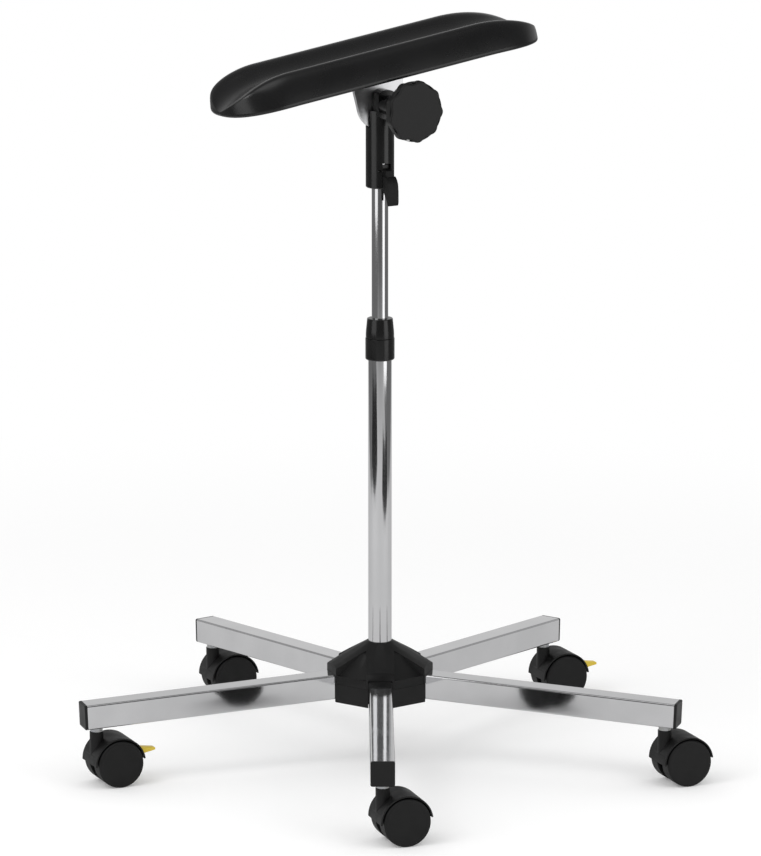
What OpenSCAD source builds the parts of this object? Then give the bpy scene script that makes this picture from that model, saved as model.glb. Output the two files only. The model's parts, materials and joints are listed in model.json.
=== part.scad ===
// Arm rest stand for a tattoo studio: a five-legged base on twin-wheel casters, a
// telescopic column with a twist clutch, a turning head with a cam lever, and a tilting
// bracket with a clamp knob that carries a moulded foam arm pad.
// Millimetres, +Z up. The origin is on the floor at the column's axis, +X runs along the
// arm pad towards its raised end, and the clamp knob faces -Y.

/* [Base] */
// Radius from the column to the tip of a leg
base_r = 330; // [300:5:380]
// Heading of the first leg, in degrees from +X
leg_heading = -119.5; // [-180:0.5:180]
// Width of the leg tube
leg_w = 25; // [23:0.5:28]
// Height of the leg tube
leg_h = 26.5; // [24:0.5:30]
// Wall of the leg tube
leg_wall = 1.5; // [1:0.1:2]
// Outer corner radius of the leg tube
leg_corner_r = 2; // [1:0.1:3]
// Height of a leg's top face at its tip
leg_tip_top = 90; // [86:1:100]
// Slope of a leg down towards its tip, in degrees
leg_droop = 2.2; // [0:0.1:3]
// Thickness of the end cap's face
cap_face = 3; // [2:0.5:5]
// Depth of the end cap's plug in the tube
cap_plug = 5; // [3:0.5:6]

/* [Hub] */
// Outer diameter of the welded hub core
core_d = 44; // [42:1:50]
// Floor of the hub core, which the column bolt pulls on
core_floor = 6; // [4:0.5:9]
// Half width across the flats of the lower hub body
hub_flat = 52; // [48:1:58]
// Radius at which the hub cover ends over a leg
arm_end_r = 54.5; // [52:0.5:60]
// Width of the hub cover's arm over a leg
arm_w = 30; // [29:0.5:36]
// Height of the cover's arm above the leg at its end
arm_rise = 10.5; // [6:0.5:12]
// Depth of the hub body below the underside of a leg
hub_drop = 3; // [2.5:0.1:5]
// Wall of the hub cover and the hub body
hub_wall = 2.5; // [2:0.1:3]
// Radius of the cover's collar around the column
collar_r = 13.7; // [13.6:0.1:16]
// Height of the cover's collar above the floor
collar_top = 132; // [126:1:140]
// Radius of the raised centre of the cover
dome_r = 25; // [20:1:30]

/* [Casters] */
// Distance from the tip of a leg to its caster's stem
stem_inset = 15.5; // [15:0.5:40]
// Diameter of a caster wheel
wheel_d = 50; // [46:1:51]
// Width of one of the two wheels
wheel_w = 16.8; // [14:0.1:19]
// Distance from the stem to the axle
caster_trail = 19.5; // [17:0.5:21]
// Thickness of the web between the two wheels
web_t = 10.8; // [10.4:0.1:13]
// Gap between a wheel and its hood
hood_gap = 1.6; // [0.6:0.1:1.8]
// Wall of the hood
hood_wall = 1.5; // [1.2:0.1:2.4]
// Width of the hood over both wheels
hood_w = 40.5; // [36:0.5:44]
// Diameter of the neck around the stem
neck_d = 14.6; // [13:0.1:16]
// Diameter of the axle
axle_d = 6; // [5:0.5:7]
// Diameter of the stem
stem_d = 8; // [7:0.5:8]
// Diameter of the stem's steel collar
stem_collar_d = 13; // [11:0.5:15]
// Height of the stem's steel collar
stem_collar_h = 4.5; // [4:0.5:8]
// Reach of a brake pedal beyond the hood
pedal_reach = 17; // [10:0.5:18]
// Width of a brake pedal
pedal_w = 8.5; // [7:0.5:9]
// Heading of the casters' trail, in degrees from +X
caster_heading = -8; // [-180:1:180]
// Small turn of each caster from that heading, in degrees
caster_turns = [-3, 0, 1.5, 2, 2];

/* [Column] */
// Diameter of the lower column tube
lower_tube_d = 25; // [24:0.5:26]
// Diameter of the upper column tube
upper_tube_d = 17.5; // [16:0.5:19]
// Wall of both column tubes
tube_wall = 1.5; // [1.2:0.1:1.8]
// Length of the upper column tube
upper_tube_l = 442; // [420:1:460]
// Height of the clutch's lower edge
clutch_z = 438; // [400:1:470]
// Diameter of the clutch body
clutch_d = 31; // [30:0.5:34]
// Height of the clutch body
clutch_h = 23; // [20:1:28]
// Height of the clutch nut
nut_h = 21; // [18:1:24]
// Diameter of the clutch nut at its top
nut_top_d = 27; // [26.5:0.5:30]

/* [Head] */
// Height of the sleeve's lower edge as pictured
head_z = 622; // [610:1:700]
// Diameter of the sleeve
sleeve_d = 30; // [28.5:0.5:34]
// Length of the sleeve up to the top of its cheeks
sleeve_l = 82; // [78:1:95]
// Depth of the bore for the upper tube
socket_l = 56; // [50:1:57]
// Height of the tilt axis above the cheeks' top
pivot_rise = 7; // [6:0.5:9]
// Diameter of the bosses on the tilt axis
boss_d = 20.5; // [18:0.5:22]
// Height of the cheeks' round top above the tilt axis
cheek_rise = 15.5; // [13:0.5:17]
// Reach of the front boss from the column's axis
boss_reach = 34; // [28:1:38]
// Width of the slot for the tilt plate
slot_w = 8; // [7.6:0.2:9]
// Diameter of the tilt stud
stud_d = 8; // [7:0.5:8]

/* [Cam lever] */
// Height of the lever's pin above the sleeve's lower edge
lever_rise = 19; // [18:1:24]
// Distance of the lever's pin from the column's axis
lever_pin_y = 12.9; // [12.6:0.1:13]
// Width of the lever's handle
lever_w = 12; // [11:0.5:14]
// Width of the lever's head in its slot
lever_head_w = 9.4; // [8:0.2:9.6]
// Length of the handle below its pin
lever_l = 35.4; // [33:0.2:44]

/* [Tilt bracket] */
// Thickness of the tilt plate
plate_t = 4; // [3:0.5:5]
// Radius of the tilt plate's lower edge
plate_r = 27.7; // [26:0.1:28]
// Width of the tilt plate where it meets the flange
plate_top_w = 62; // [58:1:70]
// Length of the flange under the pad
flange_l = 96; // [84:1:120]
// Width of the flange under the pad
flange_w = 46; // [44:1:60]
// Thickness of the flange
flange_t = 3; // [2.5:0.5:4]
// Height of the pad's underside above the tilt axis
pad_rise = 33.5; // [32:0.5:40]
// Tilt of the pad as pictured, in degrees
pad_tilt = 8.9; // [0:0.1:30]

/* [Arm pad] */
// Length of the arm pad
pad_l = 376; // [340:1:450]
// Width of the arm pad
pad_w = 116; // [105:1:130]
// Height of the pad's crests above its underside
pad_h = 32; // [28:1:40]
// Depth of the trough between the crests
trough_d = 12; // [8:1:13]
// Distance between the two crests
crest_gap = 75; // [66:1:84]
// Height of the pad's lower edge
lip_h = 4; // [3:0.5:8]
// Droop of the pad's lower edge at each end
edge_drop = 4; // [0:0.5:5]
// Length over which the crests fall at the low end
low_fall_l = 68; // [60:1:90]
// Length over which the crests fall at the raised end
high_fall_l = 85; // [60:1:90]
// Length over which the plan is rounded at each end
nose_l = 61; // [40:1:70]
// Length of the board inside the pad
board_l = 250; // [220:5:270]
// Width of the board inside the pad
board_w = 64; // [58:1:72]
// Thickness of the board inside the pad
board_t = 9; // [8:0.5:10]

/* [Clamp knob] */
// Diameter of the knob over its lobes
knob_d = 65; // [56:1:65]
// Number of lobes
knob_lobes = 9; // [6:1:12]
// Depth of the hollows between the lobes
lobe_depth = 3; // [1:0.1:3.4]
// Thickness of the knob's rim
rim_t = 11; // [8:1:14]
// Distance from the column's axis to the knob's face
knob_face_y = 76; // [74:1:84]
// Diameter of the knob's hub
knob_hub_d = 23; // [20:1:26]

/* [Hidden] */
leg_count = 5;
leg_step = 360 / leg_count;
overrun = 1;
run_fit = 0.05;
joint_gap = 0.3;
thin_gap = 0.15;
smooth = 64;
small_smooth = 32;

// Heights that follow the sloping legs
cap_corner_r = leg_corner_r * 0.6;
function leg_axis_z(r) =
    leg_tip_top - leg_h / 2 / cos(leg_droop) + (base_r - r) * tan(leg_droop);
function leg_under_z(r) = leg_axis_z(r) - leg_h / 2 / cos(leg_droop);
function leg_top_z(r) = leg_axis_z(r) + leg_h / 2 / cos(leg_droop);
function leg_s(r) = r / cos(leg_droop);

// Hub levels, from the floor up
hub_bottom = leg_under_z(arm_end_r) - hub_drop;
core_bottom = hub_bottom + hub_wall;
bolt_head_h = 5.3;
bolt_head_r = 7.5;
washer_t = 1.6;
recess_r = 12;
recess_h = bolt_head_h + washer_t + overrun;
core_seat = core_bottom + recess_h + core_floor;
core_rise = 5;
core_top = leg_top_z(core_d / 2) + core_rise;
seam_drop = 9;
roof_rise = 9;
seam_z = leg_top_z(arm_end_r) - seam_drop;
arm_end_top = leg_top_z(arm_end_r) + arm_rise;
arm_nose_r = 4;
dome_share = 0.62;
dome_top = arm_end_top + (collar_top - arm_end_top) * dome_share;
roof_edge = seam_z + roof_rise;
leg_slot_w = leg_w + 2 * joint_gap;

// Foot of the column
bolt_d = 8;
bolt_clear = 0.25;
plug_h = 18;
bolt_in = 15;

// Caster places and levels
stem_circle_r = base_r - stem_inset;
axle_z = wheel_d / 2;
socket_proud = 0.6;
socket_d = 13;
socket_h = 18;
socket_floor = 3;
stem_top = leg_under_z(stem_circle_r) - socket_proud;
collar_z = stem_top - stem_collar_h;
neck_top = collar_z - joint_gap;
stem_in = 20;
stem_up = 13;
wheel_in_y = web_t / 2 + joint_gap;
wheel_out_y = wheel_in_y + wheel_w;
tread_round = 1.6;
wheel_shell = 3;
wheel_hub_r = 7;
hood_in_r = wheel_d / 2 + hood_gap;
hood_out_r = hood_in_r + hood_wall;
hood_back = 8;
hood_front = 181;
hood_steps = 8;
web_r = 20;
pedal_pin_r = 2;
pedal_pin_x = 12;
pedal_pin_z = 8;
pedal_tip_z = 8.5;
pedal_tip_t = 2.4;
pedal_root_t = 8;
pedal_travel = 18;
pedal_gap = 0.4;
pedal_hub_r = 4;
pedal_hub_w = 6.4;
tread_x = web_r + pedal_root_t / 2 * sin(pedal_travel) + 2 * pedal_gap;
axle_end = 2.5;

// Column and clutch levels
clutch_shoulder = 4;
lower_tube_top = clutch_z + clutch_h - clutch_shoulder;
clutch_chamfer = 2;
spigot_h = 12;
spigot_r = lower_tube_d / 2 - 0.2 * tube_wall;
nut_z = clutch_z + clutch_h + joint_gap;
nut_top = nut_z + nut_h;
nut_d = clutch_d - 0.6 * tube_wall;
nut_cap = 1.5;
collet_h = 5;
collet_out_r = spigot_r - 0.4 * tube_wall;
collet_tip_r = upper_tube_d / 2 + tube_wall;
collet_slit = 1.2;
bush_h = 20;
upper_tube_top = head_z + socket_l;
upper_tube_z = upper_tube_top - upper_tube_l;

// Head levels
pivot_z = head_z + sleeve_l + pivot_rise;
slot_clear = 0.8;
slot_r = plate_r + slot_clear;
nut_af = 13;
nut_t = 6.5;
sleeve_chamfer = 1;
friction_gap = 0.1;
friction_t = (slot_w - plate_t) / 2 - friction_gap;
friction_inset = 0.25;
friction_d = boss_d - 2 * friction_inset;

// Cam lever
lever_z = head_z + lever_rise;
lever_slot_r = 8;
lever_pin_d = 2.5;
lever_neck_share = -0.152;
lever_pin_half = sqrt(pow(sleeve_d / 2, 2) - pow(lever_pin_y + lever_pin_d / 2, 2));
cam_r = 2.1;
shoe_h = 12;
handle_out_shares = [[0.217, 0.022], [0.27, -0.13], [0.36, -0.24], [0.42, -0.36],
                     [0.445, -0.57], [0.449, -0.88], [0.438, -0.945], [0.418, -0.985],
                     [0.395, -1]];
handle_in_shares = [[0.374, -0.985], [0.352, -0.93], [0.293, -0.81], [0.179, -0.67],
                    [0.103, -0.55], [0.079, -0.44], [0.079, -0.152]];

// Pad fixings
screw_x = 33;
screw_y = 14;
screw_d = 6;
screw_head_d = 11;
screw_head_h = 3.5;
tnut_d = 8;
tnut_flange_d = 18;
tnut_flange_t = 1.4;
screw_end = 1;

// Shape of the pad, as shares of its own sizes
crest_share = crest_gap / pad_w;
side_power = 1.4;
crest_start = 0.86;
crest_limit = 0.9;
crest_bend = 8;
fall_power = 1.93;
nose_power = 2.3;
side_shares = [1, 0.955, 0.9, 0.84, 0.78, 0.71];
trough_shares = [0.94, 0.86, 0.73, 0.58, 0.44, 0.3, 0.15, 0];
end_steps = 11;
mid_steps = 4;
end_turn = 84;

// Knob details
knob_edge = 1.6;
knob_washer_t = 1.7;
hub_end_y = boss_reach + knob_washer_t + joint_gap;
knob_washer_d = 18;
skirt_r = knob_d / 2 - 2 * lobe_depth;
lobe_turn = 4;
lobe_steps = 12;
stud_proud = 0.5;
stud_end_y = sleeve_d / 2 + stud_proud;
stud_in = 22;

// The leg tube's section, inset on all sides, with round corners
module leg_section(inset, r) {
    w = leg_w - 2 * inset;
    h = leg_h - 2 * inset;
    square([w - 2 * r, h], center = true);
    square([w, h - 2 * r], center = true);
    for (x = [-1, 1], y = [-1, 1])
        translate([x * (w / 2 - r), y * (h / 2 - r)]) circle(r = r, $fn = small_smooth);
}

// Places a child along the centre line of one leg, with +X towards the leg's tip
module on_leg(i) {
    translate([0, 0, leg_axis_z(0)])
        rotate([0, 0, leg_heading + leg_step * (i - 1)])
            rotate([0, leg_droop, 0]) children();
}

// Places a child upright at one caster's stem, with +X along its trail
module on_stem(i) {
    rotate([0, 0, leg_heading + leg_step * (i - 1)])
        translate([stem_circle_r, 0, 0])
            rotate([0, 0, caster_heading + caster_turns[i - 1]
                - leg_heading - leg_step * (i - 1)]) children();
}

// Turns a Z extrusion so that it runs along the leg
module along_x() {
    rotate([90, 0, 90]) children();
}

// Turns a Z extrusion so that it runs along -Y, with the profile's y upright
module along_y() {
    rotate([90, 0, 0]) children();
}

// Square tube leg, coped to the round hub core, with a hole for its stem socket
module leg(i) {
    color("silver")
        difference() {
            on_leg(i) along_x()
                linear_extrude(leg_s(base_r) - cap_face)
                    difference() {
                        leg_section(0, leg_corner_r);
                        leg_section(leg_wall,
                            max(leg_corner_r - leg_wall, leg_corner_r / 4));
                    }
            translate([0, 0, hub_bottom])
                cylinder(h = collar_top - hub_bottom, d = core_d, $fn = smooth);
            on_stem(i) translate([0, 0, stem_top])
                cylinder(h = socket_h / 2, d = socket_d, $fn = small_smooth);
        }
}

// Black end caps, each a square face and a plug inside the tube
module leg_end_caps() {
    color([0.08, 0.08, 0.08])
        for (i = [1:leg_count])
            on_leg(i) along_x() {
                translate([0, 0, leg_s(base_r) - cap_face])
                    linear_extrude(cap_face) leg_section(0, leg_corner_r);
                translate([0, 0, leg_s(base_r) - cap_face - cap_plug])
                    linear_extrude(cap_plug)
                        leg_section(leg_wall + thin_gap, cap_corner_r);
            }
}

// Threaded steel sockets welded into the underside of the legs
module stem_sockets() {
    color("gray")
        for (i = [1:leg_count])
            on_stem(i)
                difference() {
                    translate([0, 0, stem_top])
                        cylinder(h = socket_h, d = socket_d, $fn = small_smooth);
                    translate([0, 0, stem_top - overrun])
                        cylinder(h = socket_h - socket_floor + overrun, d = stem_d,
                            $fn = small_smooth);
                }
}

// Steel stems: thread above, collar under the leg, plain spigot in the caster's neck
module caster_stems() {
    color("gainsboro")
        for (i = [1:leg_count])
            on_stem(i) {
                translate([0, 0, collar_z - stem_in])
                    cylinder(h = stem_in + stem_collar_h + stem_up, d = stem_d,
                        $fn = small_smooth);
                translate([0, 0, collar_z])
                    cylinder(h = stem_collar_h, d = stem_collar_d, $fn = small_smooth);
            }
}

// Welded steel core that holds the column tube and carries the legs
module hub_core() {
    color("dimgray")
        difference() {
            translate([0, 0, core_bottom])
                cylinder(h = core_top - core_bottom, d = core_d, $fn = smooth);
            translate([0, 0, core_bottom - overrun])
                cylinder(h = recess_h + overrun, r = recess_r, $fn = smooth);
            translate([0, 0, core_bottom])
                cylinder(h = core_seat - core_bottom + overrun, r = bolt_d / 2 + bolt_clear,
                    $fn = small_smooth);
            translate([0, 0, core_seat])
                cylinder(h = core_top - core_seat + overrun, d = lower_tube_d,
                    $fn = smooth);
        }
}

// Outline of the lower hub, a pentagon with its flats between the legs
module hub_outline(inset) {
    rotate(leg_heading)
        circle(r = (hub_flat - inset) / cos(leg_step / 2), $fn = leg_count);
}

// Moulded lower half of the hub, a tray with a slot for each leg
module hub_body() {
    color([0.07, 0.07, 0.07])
        difference() {
            translate([0, 0, hub_bottom])
                linear_extrude(seam_z - hub_bottom) hub_outline(0);
            translate([0, 0, core_bottom])
                linear_extrude(seam_z - core_bottom + overrun) hub_outline(hub_wall);
            translate([0, 0, hub_bottom - overrun])
                cylinder(h = hub_wall + 2 * overrun, r = recess_r, $fn = smooth);
            for (i = [1:leg_count])
                on_leg(i) along_x() {
                    linear_extrude(leg_s(base_r))
                        translate([-leg_slot_w / 2, -leg_h / 2 - thin_gap])
                            square([leg_slot_w, seam_z]);
                    translate([0, 0, hub_flat - leg_w / 2])
                        linear_extrude(leg_s(base_r))
                            square([leg_slot_w, 2 * leg_h], center = true);
                }
        }
}

// Outline of the cover's roof, the same pentagon cut square inside the arms' ends
module cover_outline(inset) {
    intersection() {
        hub_outline(inset);
        rotate(leg_heading + leg_step / 2)
            circle(r = (arm_end_r - hub_wall / 2 - inset) / cos(leg_step / 2),
                $fn = leg_count);
    }
}

// One arm of the hub cover, with the profile's x outwards
module cover_arm(i) {
    rotate([0, 0, leg_heading + leg_step * (i - 1)])
        along_y()
            translate([0, 0, -arm_w / 2])
                linear_extrude(arm_w)
                    polygon([
                        [0, seam_z],
                        [arm_end_r, seam_z],
                        [arm_end_r, arm_end_top - arm_nose_r],
                        [arm_end_r - arm_nose_r / 3, arm_end_top - arm_nose_r / 3],
                        [arm_end_r - arm_nose_r, arm_end_top],
                        [collar_r, collar_top],
                        [0, collar_top]]);
}

// Roof of the hub cover between its arms: a low cone with a raised centre
module cover_roof(margin) {
    rotate_extrude($fn = smooth)
        polygon([
            [0, core_bottom], [arm_end_r + arm_w, core_bottom],
            [arm_end_r + arm_w, roof_edge + margin], [hub_flat, roof_edge + margin],
            [dome_r * 1.25, dome_top + margin - hub_wall],
            [dome_r, dome_top + margin],
            [collar_r, collar_top + margin], [0, collar_top + margin]]);
}

// Cone that rounds the arms off towards the collar
module cover_cone() {
    cone_slope = (collar_top - arm_end_top) / (arm_end_r - arm_nose_r - collar_r);
    cone_r = collar_r + joint_gap;
    rotate_extrude($fn = smooth)
        polygon([
            [0, hub_bottom], [cone_r + arm_end_r, hub_bottom],
            [cone_r + arm_end_r, collar_top - cone_slope * arm_end_r],
            [cone_r, collar_top], [0, collar_top]]);
}

// Moulded upper cover of the hub, five arms and a cone around the column
module hub_cover() {
    color([0.08, 0.08, 0.08])
        difference() {
            intersection() {
                union() {
                    intersection() {
                        translate([0, 0, seam_z])
                            linear_extrude(collar_top - seam_z) cover_outline(0);
                        cover_roof(0);
                    }
                    for (i = [1:leg_count])
                        cover_arm(i);
                }
                cover_cone();
            }
            intersection() {
                translate([0, 0, seam_z - overrun])
                    linear_extrude(collar_top) cover_outline(hub_wall);
                cover_roof(-1.6 * hub_wall);
            }
            for (i = [1:leg_count])
                on_leg(i) along_x()
                    linear_extrude(leg_s(base_r))
                        square([leg_slot_w, leg_h + 2 * thin_gap], center = true);
            translate([0, 0, seam_z - overrun])
                cylinder(h = core_top - seam_z + overrun + thin_gap,
                    d = core_d + 2 * thin_gap, $fn = smooth);
            translate([0, 0, seam_z - overrun])
                cylinder(h = collar_top, d = lower_tube_d + thin_gap, $fn = smooth);
        }
}

// Bolt and washer that pull the column into the hub core
module column_bolt() {
    color("gray") {
        translate([0, 0, core_bottom + recess_h - washer_t - bolt_head_h])
            cylinder(h = bolt_head_h, r = bolt_head_r, $fn = 6);
        translate([0, 0, core_bottom + recess_h - washer_t])
            cylinder(h = washer_t, r = recess_r - overrun, $fn = smooth);
        translate([0, 0, core_bottom + recess_h])
            cylinder(h = core_floor + bolt_in, d = bolt_d, $fn = small_smooth);
    }
}

// Threaded plug pressed into the foot of the column tube
module foot_plug() {
    color("gray")
        difference() {
            translate([0, 0, core_seat])
                cylinder(h = plug_h, d = lower_tube_d - 2 * tube_wall, $fn = smooth);
            translate([0, 0, core_seat - overrun])
                cylinder(h = bolt_in + 2 * overrun, d = bolt_d, $fn = small_smooth);
        }
}

// Fixed lower tube of the column
module lower_tube() {
    color("silver")
        difference() {
            translate([0, 0, core_seat])
                cylinder(h = lower_tube_top - core_seat, d = lower_tube_d, $fn = smooth);
            translate([0, 0, core_seat - overrun])
                cylinder(h = lower_tube_top - core_seat + 2 * overrun,
                    d = lower_tube_d - 2 * tube_wall, $fn = smooth);
        }
}

// Clutch body, pressed over the tube's end, with a threaded spigot above
module clutch_body() {
    color([0.07, 0.07, 0.07])
        rotate_extrude($fn = smooth)
            polygon([
                [lower_tube_d / 2, clutch_z],
                [clutch_d / 2 - clutch_chamfer, clutch_z],
                [clutch_d / 2, clutch_z + clutch_chamfer],
                [clutch_d / 2, clutch_z + clutch_h - thin_gap],
                [clutch_d / 2 - thin_gap, clutch_z + clutch_h],
                [spigot_r, clutch_z + clutch_h],
                [spigot_r, clutch_z + clutch_h + spigot_h],
                [upper_tube_d / 2 + run_fit, clutch_z + clutch_h + spigot_h],
                [upper_tube_d / 2 + run_fit, lower_tube_top],
                [lower_tube_d / 2, lower_tube_top]]);
}

// Split collet that the nut squeezes onto the upper tube
module clutch_collet() {
    color("ivory")
        difference() {
            rotate_extrude($fn = smooth)
                polygon([
                    [upper_tube_d / 2 + run_fit, clutch_z + clutch_h + spigot_h],
                    [collet_out_r, clutch_z + clutch_h + spigot_h],
                    [collet_out_r, clutch_z + clutch_h + spigot_h + collet_h / 3],
                    [collet_tip_r, clutch_z + clutch_h + spigot_h + collet_h],
                    [upper_tube_d / 2 + run_fit,
                        clutch_z + clutch_h + spigot_h + collet_h]]);
            translate([0, -collet_slit / 2, clutch_z + clutch_h])
                cube([clutch_d, collet_slit, spigot_h + collet_h + overrun]);
        }
}

// Clutch nut, turned by hand to grip or free the upper tube
module clutch_nut() {
    color([0.07, 0.07, 0.07])
        rotate_extrude($fn = smooth)
            polygon([
                [spigot_r + run_fit, nut_z],
                [nut_d / 2, nut_z],
                [nut_d / 2, nut_z + nut_h / 4],
                [nut_top_d / 2, nut_top - nut_cap],
                [nut_top_d / 2 - nut_cap / 2, nut_top],
                [upper_tube_d / 2 + thin_gap, nut_top],
                [upper_tube_d / 2 + thin_gap, nut_top - nut_cap],
                [spigot_r + run_fit, nut_top - nut_cap]]);
}

// Telescoping upper tube of the column
module upper_tube() {
    color("silver")
        difference() {
            translate([0, 0, upper_tube_z])
                cylinder(h = upper_tube_l, d = upper_tube_d, $fn = smooth);
            translate([0, 0, upper_tube_z - overrun])
                cylinder(h = upper_tube_l + 2 * overrun, d = upper_tube_d - 2 * tube_wall,
                    $fn = smooth);
        }
}

// Plastic bush on the foot of the upper tube, which slides in the lower tube
module guide_bush() {
    color("ivory")
        difference() {
            translate([0, 0, upper_tube_z])
                cylinder(h = bush_h, d = lower_tube_d - 2 * tube_wall - 2 * run_fit,
                    $fn = smooth);
            translate([0, 0, upper_tube_z - overrun])
                cylinder(h = bush_h + 2 * overrun, d = upper_tube_d, $fn = smooth);
        }
}

// Moulded head: sleeve on the upper tube, two cheeks and two bosses on the tilt axis
module head_sleeve() {
    color([0.06, 0.06, 0.06])
        difference() {
            union() {
                translate([0, 0, head_z])
                    cylinder(h = sleeve_chamfer, d1 = sleeve_d - 2 * sleeve_chamfer,
                        d2 = sleeve_d, $fn = smooth);
                translate([0, 0, head_z + sleeve_chamfer])
                    cylinder(h = sleeve_l - sleeve_chamfer, d = sleeve_d, $fn = smooth);
                translate([0, 0, pivot_z]) along_y()
                    translate([0, 0, -sleeve_d / 2]) {
                        cylinder(h = sleeve_d / 2 + boss_reach, d = boss_d, $fn = smooth);
                        linear_extrude(sleeve_d)
                            intersection() {
                                circle(r = cheek_rise, $fn = smooth);
                                square([boss_d, 2 * cheek_rise], center = true);
                            }
                    }
            }
            translate([0, 0, head_z - overrun])
                cylinder(h = socket_l + overrun + joint_gap,
                    d = upper_tube_d + 2 * run_fit, $fn = smooth);
            translate([0, 0, pivot_z]) along_y() {
                translate([0, 0, -slot_w / 2])
                    cylinder(h = slot_w, r = slot_r, $fn = smooth);
                translate([0, 0, -sleeve_d])
                    cylinder(h = sleeve_d + boss_reach + overrun,
                        d = stud_d + 2 * run_fit, $fn = small_smooth);
                translate([0, 0, -sleeve_d / 2 - overrun])
                    cylinder(h = nut_t + overrun, r = nut_af / 2 / cos(30), $fn = 6);
            }
            translate([-lever_head_w / 2 - joint_gap, -lever_pin_y, lever_z])
                along_x()
                    cylinder(h = lever_head_w + 2 * joint_gap, r = lever_slot_r,
                        $fn = smooth);
            translate([-sleeve_d / 2, -lever_pin_y, lever_z])
                along_x()
                    cylinder(h = sleeve_d, d = lever_pin_d, $fn = small_smooth);
        }
}

// Nylon shoe that the cam presses onto the upper tube
module clamp_shoe() {
    color([0.1, 0.1, 0.1])
        difference() {
            translate([-lever_head_w / 2, -lever_pin_y + cam_r + thin_gap,
                lever_z - shoe_h / 2])
                cube([lever_head_w, lever_pin_y - cam_r - thin_gap, shoe_h]);
            translate([0, 0, lever_z - shoe_h])
                cylinder(h = 2 * shoe_h, d = upper_tube_d + 2 * run_fit, $fn = smooth);
        }
}

// Steel pin of the cam lever
module lever_pin() {
    color("gray")
        translate([-lever_pin_half, -lever_pin_y, lever_z])
            along_x()
                cylinder(h = 2 * lever_pin_half, d = lever_pin_d, $fn = small_smooth);
}

// Hexagon nut of the tilt stud, held in the back cheek
module captive_nut() {
    color("gray")
        translate([0, sleeve_d / 2, pivot_z]) along_y()
            difference() {
                cylinder(h = nut_t, r = nut_af / 2 / cos(30), $fn = 6);
                translate([0, 0, -overrun])
                    cylinder(h = nut_t + 2 * overrun, d = stud_d + 2 * run_fit,
                        $fn = small_smooth);
            }
}

// Cam lever: a round head on its pin and a handle that flares away from the tube
module cam_lever() {
    color([0.07, 0.07, 0.07])
        difference() {
            union() {
                translate([-lever_w / 2, -lever_pin_y, lever_z])
                    along_x() linear_extrude(lever_w)
                        mirror([1, 0])
                            polygon([
                                for (p = concat(handle_out_shares, handle_in_shares))
                                    [p[0], min(p[1], lever_neck_share)] * lever_l]);
                translate([-lever_head_w / 2, -lever_pin_y, lever_z])
                    along_x() linear_extrude(lever_head_w)
                        mirror([1, 0]) {
                            circle(r = cam_r, $fn = small_smooth);
                            polygon([
                                [0, cam_r], handle_out_shares[0] * lever_l,
                                [0.255 * lever_l, lever_neck_share * lever_l],
                                [0.079 * lever_l, lever_neck_share * lever_l],
                                [0, -cam_r]]);
                        }
            }
            translate([-lever_w, -lever_pin_y, lever_z])
                along_x()
                    cylinder(h = 2 * lever_w, d = lever_pin_d + 2 * run_fit,
                        $fn = small_smooth);
        }
}

// Places a child in the pad's tilted frame, with its origin on the tilt axis
module on_tilt() {
    translate([0, 0, pivot_z]) rotate([0, -pad_tilt, 0]) children();
}

// Steel plate that swings in the head's slot
module tilt_plate() {
    color("lightgray")
        on_tilt() along_y()
            translate([0, 0, -plate_t / 2])
                linear_extrude(plate_t)
                    difference() {
                        union() {
                            circle(r = plate_r, $fn = smooth);
                            polygon([
                                [-plate_r, 0], [plate_r, 0],
                                [plate_top_w / 2, pad_rise - flange_t],
                                [-plate_top_w / 2, pad_rise - flange_t]]);
                        }
                        circle(d = stud_d + 2 * run_fit, $fn = small_smooth);
                        translate([-plate_top_w, pad_rise - flange_t])
                            square([2 * plate_top_w, plate_r]);
                    }
}

// Flange welded on the tilt plate, screwed under the pad
module pad_flange() {
    color("lightgray")
        on_tilt()
            difference() {
                translate([-flange_l / 2, -flange_w / 2, pad_rise - flange_t])
                    cube([flange_l, flange_w, flange_t]);
                at_screws()
                    translate([0, 0, pad_rise - flange_t - overrun])
                        cylinder(h = flange_t + 2 * overrun, d = screw_d + thin_gap,
                            $fn = small_smooth);
            }
}

// Repeats a child at the four pad screws
module at_screws() {
    for (x = [-1, 1], y = [-1, 1])
        translate([x * screw_x, y * screw_y, 0]) children();
}

// Fibre washers on both sides of the tilt plate
module friction_washers() {
    color([0.12, 0.12, 0.12])
        on_tilt() along_y()
            for (side = [-1, 1])
                translate([0, 0, side * (plate_t + friction_t) / 2 - friction_t / 2])
                    difference() {
                        cylinder(h = friction_t, d = friction_d, $fn = smooth);
                        translate([0, 0, -overrun])
                            cylinder(h = friction_t + 2 * overrun, d = stud_d + 2 * run_fit,
                                $fn = small_smooth);
                    }
}

// Screws from under the flange into the pad's nuts
module pad_screws() {
    color("gray")
        on_tilt()
            at_screws() {
                translate([0, 0, pad_rise - flange_t - screw_head_h])
                    cylinder(h = screw_head_h, d = screw_head_d, $fn = small_smooth);
                translate([0, 0, pad_rise - flange_t])
                    cylinder(h = flange_t + board_t - screw_end, d = screw_d,
                        $fn = small_smooth);
            }
}

// Board moulded into the pad's underside
module pad_board() {
    color("burlywood")
        on_tilt()
            difference() {
                translate([-board_l / 2, -board_w / 2, pad_rise])
                    cube([board_l, board_w, board_t]);
                at_screws() {
                    translate([0, 0, pad_rise - overrun])
                        cylinder(h = board_t + 2 * overrun, d = tnut_d,
                            $fn = small_smooth);
                    translate([0, 0, pad_rise + board_t - tnut_flange_t])
                        cylinder(h = tnut_flange_t + overrun, d = tnut_flange_d,
                            $fn = small_smooth);
                }
            }
}

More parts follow.
